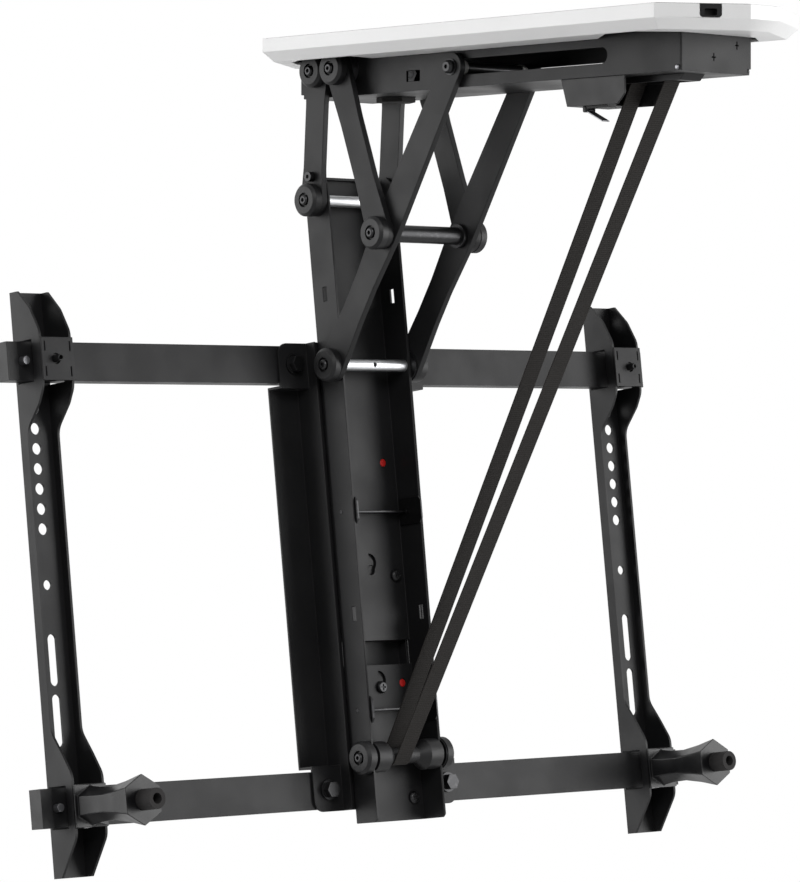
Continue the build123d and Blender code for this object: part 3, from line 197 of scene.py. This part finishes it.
class Finish:
    """A material whose nodes read the piece's own place."""

    def __init__(self, name, **sockets):
        self.material = bpy.data.materials.new(name)
        self.material.use_nodes = True
        self.tree = self.material.node_tree
        self.shader = self.tree.nodes["Principled BSDF"]
        self.place = self.add("ShaderNodeTexCoord").outputs["Object"]
        for socket, value in sockets.items():
            self.shader.inputs[socket.replace("_", " ")].default_value = value

    def add(self, kind, settings=None, values=None):
        """Adds a node: its settings first, then the values or links of its sockets."""
        node = self.tree.nodes.new(kind)
        for name, value in (settings or {}).items():
            if name == "stops":
                ramp = node.color_ramp
                while len(ramp.elements) < len(value):
                    ramp.elements.new(1)
                for stop, (position, colour) in zip(ramp.elements, value):
                    stop.position = position
                    stop.color = colour
            else:
                setattr(node, name, value)
        for socket, value in (values or {}).items():
            self.feed(node.inputs[socket], value)
        return node

    def feed(self, socket, value):
        """Links a number or an output to a socket, or sets its value."""
        value = value.socket if isinstance(value, Number) else value
        if isinstance(value, bpy.types.NodeSocket):
            self.tree.links.new(value, socket)
        else:
            socket.default_value = value

    def number(self, kind, settings=None, values=None):
        """The number that a new node gives."""
        return Number(self, self.add(kind, settings, values).outputs[0])

    def wave(self, operation, value):
        """A number worked out from one other number."""
        return self.number("ShaderNodeMath", {"operation": operation}, {0: value})

    def noise(self, scale, detail=2, stretch=(1, 1, 1), roughness=0.5):
        """Cloudy variation, from 0 to 1 about a middle of 0.5."""
        place = self.add("ShaderNodeMapping", None, {"Vector": self.place, "Scale": stretch}).outputs[0]
        return self.number("ShaderNodeTexNoise", None,
                           {"Vector": place, "Scale": scale, "Detail": detail, "Roughness": roughness})

    def ramp(self, value, low, high, first=0, last=1):
        """A number's run from low to high turned into one from first to last."""
        return self.number("ShaderNodeMapRange", {"interpolation_type": "SMOOTHSTEP"},
                           {"Value": value, "From Min": low, "From Max": high,
                            "To Min": first, "To Max": last})

    def mix(self, share, first, second):
        """A colour between two colours."""
        node = self.add("ShaderNodeMix", {"data_type": "RGBA"}, {0: share, 6: first, 7: second})
        return node.outputs[2]

    def wear(self, **links):
        """Feeds what varies to the shader."""
        for socket, value in links.items():
            self.feed(self.shader.inputs[socket.replace("_", " ")], value)

    def relief(self, height, distance):
        """Feeds a height to the shader as fine relief."""
        node = self.add("ShaderNodeBump", None, {"Height": height, "Distance": distance})
        self.feed(self.shader.inputs["Normal"], node.outputs[0])


def shade(colour, share):
    """A colour made lighter or darker."""
    return (*(min(1, channel * share) for channel in colour), 1)


def powder_coat(name, colour, gloss=0.42):
    """Satin powder coat: fine orange peel, faint clouding and a little dust."""
    finish = Finish(name, Specular_IOR_Level=0.13)
    peel = finish.noise(1500, 3)
    cloud = finish.noise(26, 4)
    dust = finish.ramp(finish.noise(420, 5, roughness=0.7), 0.6, 0.78)
    base = finish.mix(cloud, shade(colour, 0.78), shade(colour, 1.25))
    finish.wear(Base_Color=finish.mix(dust * 0.1, base, shade((0.1, 0.1, 0.1), 1)),
                Roughness=finish.ramp(cloud, 0.3, 0.7, gloss - 0.04, gloss + 0.06) + dust * 0.08)
    finish.relief(peel + cloud * 0.4, 0.00006)
    return finish.material


def cover_paint(colour):
    """Smooth white stove enamel on folded sheet, with slight orange peel."""
    finish = Finish("cover_paint", Specular_IOR_Level=0.45)
    cloud = finish.noise(14, 3)
    peel = finish.noise(700, 2)
    scuff = finish.ramp(finish.noise(160, 4, (1, 1, 6), 0.65), 0.62, 0.75)
    base = finish.mix(cloud, shade(colour, 0.97), shade(colour, 1.02))
    finish.wear(Base_Color=finish.mix(scuff * 0.05, base, shade(colour, 0.7)),
                Roughness=finish.ramp(cloud, 0.3, 0.7, 0.3, 0.38) + scuff * 0.1)
    finish.relief(peel, 0.00008)
    return finish.material


def turned_steel(name, colour, roughness=0.24):
    """Bare steel turned on a lathe: fine rings across the length and faint stains."""
    finish = Finish(name, Metallic=1.0)
    rings = finish.noise(900, 2, (1, 0.02, 0.02))
    stain = finish.noise(70, 4, roughness=0.6)
    base = finish.mix(finish.ramp(stain, 0.4, 0.75), shade(colour, 1), shade(colour, 0.72))
    finish.wear(Base_Color=base,
                Roughness=rings * 0.06 + finish.ramp(stain, 0.3, 0.7, roughness - 0.04, roughness))
    finish.relief(rings, 0.000008)
    return finish.material


def oxide(name, colour, roughness=0.36):
    """Blackened steel of the bolts, rubbed a little brighter here and there."""
    finish = Finish(name, Metallic=0.85)
    grain = finish.noise(1800, 3)
    rub = finish.ramp(finish.noise(330, 4, roughness=0.65), 0.5, 0.72)
    finish.wear(Base_Color=finish.mix(rub, shade(colour, 0.9), shade(colour, 1.3)),
                Roughness=grain * 0.12 + (roughness - 0.06) - rub * 0.06)
    finish.relief(grain, 0.00003)
    return finish.material


def moulded(name, colour, roughness, texture=0.00005):
    """Moulded plastic or rubber with a fine spark-eroded grain."""
    finish = Finish(name, Specular_IOR_Level=0.22)
    grain = finish.noise(2600, 2)
    cloud = finish.noise(60, 3)
    finish.wear(Base_Color=finish.mix(cloud, shade(colour, 0.85), shade(colour, 1.2)),
                Roughness=grain * 0.1 + finish.ramp(cloud, 0.3, 0.7, roughness - 0.07, roughness))
    finish.relief(grain, texture)
    return finish.material


def webbing(colour, pitch, width):
    """Woven strap: cross ribs, broken by the warp, with tighter selvedges."""
    finish = Finish("strap_webbing", Specular_IOR_Level=0.15, Sheen_Weight=0.04, Sheen_Roughness=0.5)
    along = finish.add("ShaderNodeUVMap", {"uv_map": "Strap"}).outputs[0]
    parts = finish.add("ShaderNodeSeparateXYZ", None, {0: along}).outputs
    run, side = Number(finish, parts[1]), Number(finish, parts[0])
    turns = 2 * pi / pitch
    warp = finish.wave("SINE", side * (turns * 1.6))
    shift = finish.wave("SINE", run * turns + warp * 1.2)
    edge = finish.wave("ABSOLUTE", side - width / 2)
    selvedge = finish.ramp(edge, width / 2 - 0.0016, width / 2 - 0.0008)
    fuzz = finish.noise(3000, 3)
    height = shift * 0.35 + warp * 0.15 + selvedge * 0.5 + fuzz * 0.25
    base = finish.mix(finish.ramp(shift, -1, 1), shade(colour, 0.85), shade(colour, 1.15))
    finish.wear(Base_Color=finish.mix(fuzz * 0.3, base, shade(colour, 1.5)),
                Roughness=finish.ramp(shift, -1, 1, 0.86, 0.66))
    finish.relief(height, 0.00025)
    return finish.material


def circuit_board():
    """Green solder mask over copper tracks."""
    finish = Finish("circuit_board", Specular_IOR_Level=0.5, Coat_Roughness=0.12)
    tracks = finish.number("ShaderNodeTexBrick", {"offset": 0.5}, {
        "Vector": finish.place, "Scale": 140, "Mortar Size": 0.06, "Color1": (0, 0, 0, 1),
        "Color2": (0.15, 0.15, 0.15, 1), "Mortar": (1, 1, 1, 1)})
    specks = finish.ramp(finish.noise(900, 2), 0.62, 0.66)
    base = finish.mix(tracks, (0.006, 0.09, 0.035, 1), (0.03, 0.2, 0.08, 1))
    finish.wear(Base_Color=finish.mix(specks, base, (0.5, 0.48, 0.42, 1)), Roughness=specks * 0.2 + 0.3,
                Metallic=specks * 0.7)
    finish.relief(tracks + specks, 0.00005)
    return finish.material


# Modelling

def only(piece):
    """Makes one object the only selected one."""
    if bpy.context.mode != "OBJECT":
        bpy.ops.object.mode_set(mode="OBJECT")
    bpy.ops.object.select_all(action="DESELECT")
    piece.select_set(True)
    bpy.context.view_layer.objects.active = piece


def settle(piece):
    """Puts an object's place into its mesh."""
    only(piece)
    bpy.ops.object.transform_apply(location=True, rotation=True, scale=True)


def apply_modifier(piece, kind, **settings):
    """Adds a modifier and applies it."""
    only(piece)
    modifier = piece.modifiers.new(kind.title(), kind)
    for name, value in settings.items():
        setattr(modifier, name, value)
    bpy.ops.object.modifier_apply(modifier=modifier.name)


def smooth(piece, angle=35):
    """Shades a piece smooth, apart from its sharp edges."""
    only(piece)
    bpy.ops.object.shade_smooth_by_angle(angle=radians(angle))


def keep(piece, finishes, body, nodes=()):
    """Finishes a piece: its materials, the body that it rides on and what it stands for."""
    piece.data.materials.clear()
    for finish in finishes:
        piece.data.materials.append(finish)
    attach(piece, body)
    if nodes:
        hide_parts(*nodes)
    return piece


def spread(mesh):
    """The area of all of a mesh's triangles."""
    mesh.calc_loop_triangles()
    return sum(triangle.area for triangle in mesh.loop_triangles)


def round_edges(piece, source, rounding, corner):
    """Rounds a piece's edges, more gently where the rounding would spoil the solid's surface."""
    plain = piece.data.copy()
    area = spread(plain)
    for width, clamped in ((rounding, False), (rounding, True), (rounding / 3, True)):
        piece.data = plain.copy()
        apply_modifier(piece, "BEVEL", width=width, segments=2, limit_method="ANGLE",
                       angle_limit=radians(corner), use_clamp_overlap=clamped)
        reach = max((source.closest_point_on_mesh(vertex.co)[1] - vertex.co).length
                    for vertex in piece.data.vertices)
        if reach < rounding and spread(piece.data) < area * ROUNDED_GROWTH:
            return
    piece.data = plain


def dress(node, finish, rounding, corner=28):
    """A copy of a solid with its edges rounded, shown in its place."""
    source = frame["nodes"][node]
    piece = source.copy()
    piece.data = source.data.copy()
    piece.name = f"{node}_finished"
    piece.parent = None
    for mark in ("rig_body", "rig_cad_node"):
        if mark in piece:
            del piece[mark]
    bpy.context.scene.collection.objects.link(piece)
    only(piece)
    bpy.ops.mesh.customdata_custom_splitnormals_clear()
    bpy.ops.object.mode_set(mode="EDIT")
    bpy.ops.mesh.select_all(action="SELECT")
    bpy.ops.mesh.remove_doubles(threshold=MERGE_DISTANCE)
    bpy.ops.object.mode_set(mode="OBJECT")
    merged = piece.data.copy()
    bpy.ops.object.mode_set(mode="EDIT")
    bpy.ops.mesh.dissolve_limited(angle_limit=FLAT_ANGLE)
    bpy.ops.object.mode_set(mode="OBJECT")
    if spread(piece.data) > spread(merged) * FLATTENED_GROWTH:
        piece.data = merged
    round_edges(piece, source, rounding, corner)
    smooth(piece)
    apply_modifier(piece, "WEIGHTED_NORMAL", keep_sharp=True)
    return keep(piece, [finish], source["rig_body"], [node])


def off_column(depth, height):
    """The point (y, z) at a depth and height of the column, whose lower pivot sets them."""
    _, y, z = PIVOTS["column_turn"]
    depth -= PIVOT_DEPTH
    return y + depth * cos(LEAN) - height * sin(LEAN), z + depth * sin(LEAN) + height * cos(LEAN)


def strap_band(name, path, thickness, x_span):
    """A flat band that follows a row of (y, z) points, with the distance along it in its own UV map."""
    rows = len(path) - 1
    bpy.ops.object.select_all(action="DESELECT")
    bpy.ops.mesh.primitive_grid_add(x_subdivisions=STRAP_COLUMNS, y_subdivisions=rows, size=1)
    band = bpy.context.object
    band.name = name
    low, high = x_span
    lengths = [0]
    for (y1, z1), (y2, z2) in zip(path, path[1:]):
        lengths.append(lengths[-1] + hypot(y2 - y1, z2 - z1))
    row_of = {}
    for vertex in band.data.vertices:
        row = round((vertex.co.y + 0.5) * rows)
        row_of[vertex.index] = (vertex.co.x + 0.5, row)
        vertex.co = (low + (high - low) * (vertex.co.x + 0.5), *path[row])
    layer = band.data.uv_layers[0]
    layer.name = "Strap"
    for loop in band.data.loops:
        share, row = row_of[loop.vertex_index]
        layer.data[loop.index].uv = (share * (high - low), lengths[row])
    apply_modifier(band, "SOLIDIFY", thickness=thickness, offset=0, use_even_offset=True)
    apply_modifier(band, "BEVEL", width=thickness * 0.3, segments=2, limit_method="ANGLE",
                   angle_limit=radians(50))
    smooth(band, 60)
    return band


# Stage

def set_floor():
    """The pale floor, which glows a little for the camera."""
    bpy.ops.object.select_all(action="DESELECT")
    bpy.ops.mesh.primitive_circle_add(vertices=96, radius=FLOOR_RADIUS, fill_type="NGON",
                                      location=(0, 0, FLOOR_LEVEL))
    floor = bpy.context.object
    floor.name = "studio_floor"
    settle(floor)
    pale = Finish("studio_floor", Specular_IOR_Level=0.1, Roughness=0.9)
    tone = pale.noise(0.6, 2)
    pale.wear(Base_Color=pale.mix(tone, (0.86, 0.86, 0.86, 1), (0.88, 0.88, 0.88, 1)))
    rays = pale.add("ShaderNodeLightPath").outputs
    seen = Number(pale, rays["Is Camera Ray"]) + Number(pale, rays["Is Glossy Ray"])
    glow = pale.add("ShaderNodeEmission", None, {"Color": (1, 1, 1, 1), "Strength": 1.0})
    blend = pale.add("ShaderNodeMixShader", None,
                     {0: seen * FLOOR_GLOW, 1: pale.shader.outputs[0], 2: glow.outputs[0]})
    pale.feed(pale.tree.nodes["Material Output"].inputs["Surface"], blend.outputs[0])
    floor.data.materials.append(pale.material)


def set_surround(strength):
    """Even light from all round, which the camera, reflections and glass see as white."""
    world = bpy.data.worlds.new("studio")
    bpy.context.scene.world = world
    world.use_nodes = True
    tree = world.node_tree
    background = tree.nodes["Background"]
    background.inputs["Color"].default_value = (1, 1, 1, 1)
    rays = tree.nodes.new("ShaderNodeLightPath").outputs
    seen = rays["Is Camera Ray"]
    for ray in ("Is Glossy Ray", "Is Transmission Ray"):
        node = tree.nodes.new("ShaderNodeMath")
        node.operation = "MAXIMUM"
        tree.links.new(seen, node.inputs[0])
        tree.links.new(rays[ray], node.inputs[1])
        seen = node.outputs[0]
    level = tree.nodes.new("ShaderNodeMapRange")
    level.inputs["To Min"].default_value = strength
    level.inputs["To Max"].default_value = 1.0
    tree.links.new(seen, level.inputs["Value"])
    tree.links.new(level.outputs[0], background.inputs["Strength"])


def set_lamps(studio):
    """The three soft lamps, all pointed at the mount's middle."""
    for name, (place, size) in LAMPS.items():
        bpy.ops.object.light_add(type="AREA", location=place)
        lamp = bpy.context.object
        lamp.name = f"studio_{name}"
        lamp.data.size = size
        lamp.data.energy = getattr(studio, name)
        lamp.rotation_euler = (Vector(LAMP_AIM) - Vector(place)).to_track_quat("-Z", "Y").to_euler()


def set_camera():
    """The camera at the photo's place and angle."""
    camera = bpy.data.objects.new("camera", bpy.data.cameras.new("camera"))
    bpy.context.scene.collection.objects.link(camera)
    camera.location = CAMERA_PLACE
    camera.rotation_euler = Vector(CAMERA_AIM).to_track_quat("-Z", "Y").to_euler()
    camera.data.sensor_fit = "HORIZONTAL"
    camera.data.sensor_width = SENSOR_WIDTH
    camera.data.lens = FOCAL_PIXELS / PHOTO_WIDTH * SENSOR_WIDTH
    camera.data.clip_start = 0.1
    camera.data.clip_end = 200
    bpy.context.scene.camera = camera
    bpy.context.scene.view_settings.view_transform = "Standard"


FINISHES = {}


def mix_finishes(colours, sizes):
    """Makes every material once, for all the pieces to share."""
    low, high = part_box("strap_front")
    FINISHES.update(
        powder=powder_coat("powder_coat", colours.powder),
        cover=cover_paint(colours.cover),
        bright=turned_steel("turned_steel", colours.steel, 0.4),
        zinc=turned_steel("zinc_plate", (0.2, 0.2, 0.21), 0.4),
        oxide=oxide("blackened_steel", (0.026, 0.026, 0.027)),
        nylon=moulded("nylon", (0.3, 0.3, 0.29), 0.5),
        red=moulded("red_plug", (0.42, 0.012, 0.01), 0.45),
        plastic=moulded("satin_plastic", (0.009, 0.009, 0.0095), 0.45),
        gloss=moulded("gloss_plastic", (0.005, 0.005, 0.0055), 0.3, 0.00001),
        rubber=moulded("rubber", (0.018, 0.017, 0.017), 0.78, 0.0001),
        strap=webbing(colours.strap, sizes.rib_pitch, high.x - low.x),
        board=circuit_board(),
    )


class Step:
    """What the mount's operators share."""
    bl_options = {"REGISTER", "UNDO"}

    @property
    def sizes(self):
        """The sizes set in the panel."""
        return bpy.context.scene.mount_sizes

    def sheet(self, *nodes):
        """Coats steel sheet with powder."""
        for node in nodes:
            dress(node, FINISHES["powder"], self.sizes.sheet_rounding)

    def small(self, finish, slot, *nodes):
        """Finishes small parts."""
        for node in nodes:
            dress(node, FINISHES[finish], self.sizes.small_rounding)


class MOUNT_OT_stage(bpy.types.Operator, Step):
    """Sets the floor, the lamps and the camera"""
    bl_idname = "mount.stage"
    bl_label = "Set the Stage"

    def execute(self, context):
        set_floor()
        set_surround(context.scene.mount_studio.surround)
        set_lamps(context.scene.mount_studio)
        set_camera()
        return {"FINISHED"}


class MOUNT_OT_finishes(bpy.types.Operator, Step):
    """Mixes the paints, metals and plastics"""
    bl_idname = "mount.finishes"
    bl_label = "Mix the Finishes"

    def execute(self, context):
        mix_finishes(context.scene.mount_colours, context.scene.mount_sizes)
        return {"FINISHED"}


class MOUNT_OT_frame(bpy.types.Operator, Step):
    """Coats the ceiling plate, the frame channel and its end plate"""
    bl_idname = "mount.frame"
    bl_label = "Frame"

    def execute(self, context):
        self.sheet("ceiling_plate", "frame_channel", "end_plate", "strap_guide")
        self.small("rubber", "rubber", "frame_buffer")
        self.small("zinc", "grey_steel", "frame_spacers", "strap_anchor")
        return {"FINISHED"}


class MOUNT_OT_cover(bpy.types.Operator, Step):
    """Paints the white cover and fits its mains socket"""
    bl_idname = "mount.cover"
    bl_label = "Cover"

    def execute(self, context):
        dress("top_cover", FINISHES["cover"], self.sizes.sheet_rounding)
        self.small("gloss", "black_plastic", "mains_socket")
        return {"FINISHED"}


class MOUNT_OT_arms(bpy.types.Operator, Step):
    """Coats the lift arms, the cross arms and the rear arms"""
    bl_idname = "mount.arms"
    bl_label = "Arms"

    def execute(self, context):
        self.sheet("lift_arm_near", "lift_arm_far", "cross_arm_near", "cross_arm_far", "rear_arm_near",
                   "rear_arm_far")
        self.small("bright", "grey_steel", "upper_shaft", "lower_shaft", "roller_axle")
        self.small("oxide", "dark_steel", "cross_tube", "slider_shaft")
        return {"FINISHED"}


class MOUNT_OT_column(bpy.types.Operator, Step):
    """Coats the column, its cross brackets and the carrier behind it"""
    bl_idname = "mount.column"
    bl_label = "Column"
    plugs = ((-0.0215, -0.0712), (-0.0227, -0.2373))

    def execute(self, context):
        self.sheet("column_channel", "carrier_plate")
        self.small("oxide", "dark_steel", "cross_brackets", "column_screws")
        radius, length = self.sizes.plug_radius, self.sizes.plug_length
        for x, height in self.plugs:
            bpy.ops.object.select_all(action="DESELECT")
            bpy.ops.mesh.primitive_cylinder_add(vertices=32, radius=radius, depth=length,
                                                location=(x, *off_column(WEB_MIDDLE, height)),
                                                rotation=(LEAN - pi / 2, 0, 0))
            plug = context.object
            plug.name = "web_plug"
            settle(plug)
            apply_modifier(plug, "BEVEL", width=radius / 7, segments=3, limit_method="ANGLE",
                           angle_limit=radians(30))
            smooth(plug)
            keep(plug, [FINISHES["red"]], "column")
        return {"FINISHED"}


class MOUNT_OT_rails(bpy.types.Operator, Step):
    """Coats the two rails and fits their end caps"""
    bl_idname = "mount.rails"
    bl_label = "Rails"

    def execute(self, context):
        self.sheet("upper_rail", "lower_rail")
        self.small("plastic", "black_plastic", "rail_caps")
        return {"FINISHED"}


class MOUNT_OT_brackets(bpy.types.Operator, Step):
    """Coats the television brackets and fits their clamps and bumpers"""
    bl_idname = "mount.brackets"
    bl_label = "Television Brackets"

    def execute(self, context):
        for side in ("near", "far"):
            self.sheet(f"bracket_{side}", f"clamp_{side}")
            dress(f"bumper_{side}", FINISHES["gloss"], self.sizes.bumper_rounding, 20)
            self.small("rubber", "rubber", f"bumper_foot_{side}")
        return {"FINISHED"}


class MOUNT_OT_fasteners(bpy.types.Operator, Step):
    """Fits the pivot bolts, caps, washers and screws"""
    bl_idname = "mount.fasteners"
    bl_label = "Fasteners"

    def execute(self, context):
        self.small("plastic", "black_plastic", "frame_caps", "middle_caps", "upper_caps", "column_caps")
        self.small("nylon", "black_plastic", "slider_rollers")
        self.small("oxide", "dark_steel", "frame_bolts", "middle_bolts", "slider_bolts", "upper_bolts",
                   "column_bolts", "carrier_bolts")
        self.small("zinc", "grey_steel", "frame_screws", "rail_stop_screws")
        return {"FINISHED"}


class MOUNT_OT_switch(bpy.types.Operator, Step):
    """Fits the limit switch with its housing and lever"""
    bl_idname = "mount.switch"
    bl_label = "Limit Switch"

    def execute(self, context):
        self.small("plastic", "black_plastic", "switch_housing", "limit_switch")
        self.small("zinc", "grey_steel", "switch_lever")
        return {"FINISHED"}


class MOUNT_OT_drive(bpy.types.Operator, Step):
    """Fits the motor, its gearbox, the drum and the control board"""
    bl_idname = "mount.drive"
    bl_label = "Drive"

    def execute(self, context):
        self.small("zinc", "grey_steel", "motor", "gearbox", "drum_bearing", "strap_drum")
        self.small("board", "board_green", "control_board")
        return {"FINISHED"}


class MOUNT_OT_strap(bpy.types.Operator, Step):
    """Lays the woven strap in two straight runs and round its roller"""
    bl_idname = "mount.strap"
    bl_label = "Strap"
    folds = {"strap_front": -0.028, "strap_rear": -0.034}

    def keep_band(self, name, path, node, body):
        """A finished band of webbing in place of a solid."""
        low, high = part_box(node)
        band = strap_band(name, path, self.sizes.strap_thickness, (low.x, high.x))
        return keep(band, [FINISHES["strap"]], body, [node])

    def execute(self, context):
        shares = [step / STRAP_STEPS for step in range(STRAP_STEPS + 1)]
        tangents = []
        for node, anchor in self.folds.items():
            low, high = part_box(node)
            start, end = (high.y, high.z), (low.y, low.z)
            path = [tuple(a + (b - a) * share for a, b in zip(start, end)) for share in shares]
            band = self.keep_band(f"{node}_webbing", path, node, "root")
            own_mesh(band)
            tangents.append(end)
        _, y, z = PIVOTS["roller_turn"]
        first, last = [atan2(end_z - z, end_y - y) for end_y, end_z in tangents]
        last -= 2 * pi if last > first else 0
        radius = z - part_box("strap_loop")[0].z - self.sizes.strap_thickness / 2
        turns = [first + (last - first) * step / STRAP_STEPS for step in range(STRAP_STEPS + 1)]
        path = [(y + radius * cos(turn), z + radius * sin(turn)) for turn in turns]
        self.keep_band("strap_loop_webbing", path, "strap_loop", "column")
        self.small("plastic", "black_plastic", "strap_roller")
        return {"FINISHED"}


class MOUNT_PT_panel(bpy.types.Panel):
    """Lists the mount's steps and what they use"""
    bl_label = "Ceiling Mount"
    bl_idname = "MOUNT_PT_panel"
    bl_space_type = "VIEW_3D"
    bl_region_type = "UI"
    bl_category = "Mount"

    def draw(self, context):
        for group in ("mount_sizes", "mount_colours", "mount_studio"):
            box = self.layout.box()
            settings = getattr(context.scene, group)
            for name in settings.__annotations__:
                box.prop(settings, name)
        for step in STEPS:
            self.layout.operator(step.bl_idname)


STEPS = (MOUNT_OT_stage, MOUNT_OT_finishes, MOUNT_OT_frame, MOUNT_OT_cover, MOUNT_OT_arms, MOUNT_OT_column,
         MOUNT_OT_rails, MOUNT_OT_brackets, MOUNT_OT_fasteners, MOUNT_OT_switch, MOUNT_OT_drive,
         MOUNT_OT_strap)
CLASSES = (MountSizes, MountColours, MountStudio, *STEPS, MOUNT_PT_panel)


def register():
    for entry in CLASSES:
        bpy.utils.register_class(entry)
    bpy.types.Scene.mount_sizes = PointerProperty(type=MountSizes)
    bpy.types.Scene.mount_colours = PointerProperty(type=MountColours)
    bpy.types.Scene.mount_studio = PointerProperty(type=MountStudio)


def unregister():
    for name in ("mount_sizes", "mount_colours", "mount_studio"):
        delattr(bpy.types.Scene, name)
    for entry in reversed(CLASSES):
        bpy.utils.unregister_class(entry)


def main():
    """Runs every step in order."""
    register()
    for step in STEPS:
        group, name = step.bl_idname.split(".")
        getattr(getattr(bpy.ops, group), name)()


if __name__ == "__main__":
    main()
